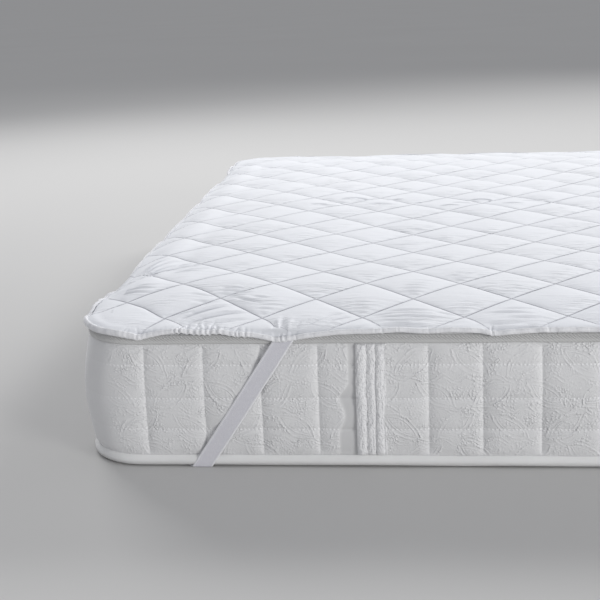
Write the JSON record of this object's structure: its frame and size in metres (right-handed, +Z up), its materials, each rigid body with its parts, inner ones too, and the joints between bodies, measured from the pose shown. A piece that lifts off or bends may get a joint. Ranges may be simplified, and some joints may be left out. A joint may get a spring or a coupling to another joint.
{
  "type": "mattress protector on mattress",
  "caption": "Diamond-quilted white mattress protector with a narrow binding and elastic corner straps, fitted over a thick mattress with a quilted border.",
  "frame": {"origin": "centre of the mattress's footprint, on the surface it lies on", "axes": "+X along the length of the bed, +Y across it, +Z up; the shown long side faces -Y"},
  "size_m": [2.0038, 1.6138, 0.222],
  "materials": {
    "quilted_cloth": "soft matt microfibre",
    "binding": "matt woven",
    "elastic": "ribbed elastic",
    "ticking": "jacquard knit with a low sheen",
    "tape": "twill tape",
    "handle": "padded woven strip"
  },
  "bodies": {
    "root": {"protector_panel": "quilted_cloth", "protector_binding": "binding", "corner_strap_front_left": "elastic", "corner_strap_front_right": "elastic", "corner_strap_back_left": "elastic", "corner_strap_back_right": "elastic", "mattress_body": "ticking", "mattress_tape_top": "tape", "mattress_tape_bottom": "tape", "mattress_handle_front_left": "handle", "mattress_handle_front_right": "handle", "mattress_handle_back_left": "handle", "mattress_handle_back_right": "handle"}
  },
  "joints": []
}
